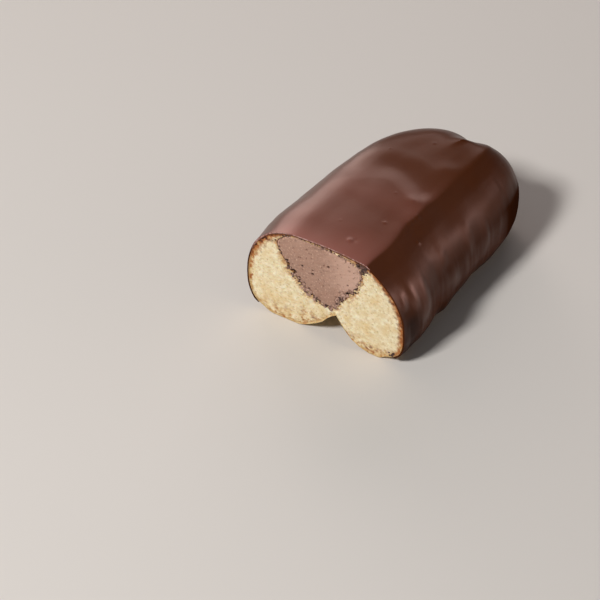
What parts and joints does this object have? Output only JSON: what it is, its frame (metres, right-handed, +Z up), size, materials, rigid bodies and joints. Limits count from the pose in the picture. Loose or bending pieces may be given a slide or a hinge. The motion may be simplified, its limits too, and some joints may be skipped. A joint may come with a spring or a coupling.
{
  "type": "chocolate cream bun half",
  "caption": "Half of an oblong cream bun, cut across: sponge folded round a chocolate cream wedge, coated with chocolate on top and sides.",
  "frame": {"origin": "middle of the bounding box, on the surface that the two feet stand on", "axes": "+X along the bun from the cut face to the rounded far end, +Y towards the left lobe as seen from the cut face, +Z up"},
  "size_m": [0.0832, 0.0628, 0.0388],
  "materials": {
    "sponge": "porous pale yellow crumb, toasted at its edges",
    "cream": "matte milk chocolate cream",
    "chocolate": "satin chocolate"
  },
  "bodies": {
    "root": {"sponge": "sponge", "cream_filling": "cream", "chocolate_coating": "chocolate"}
  },
  "joints": []
}
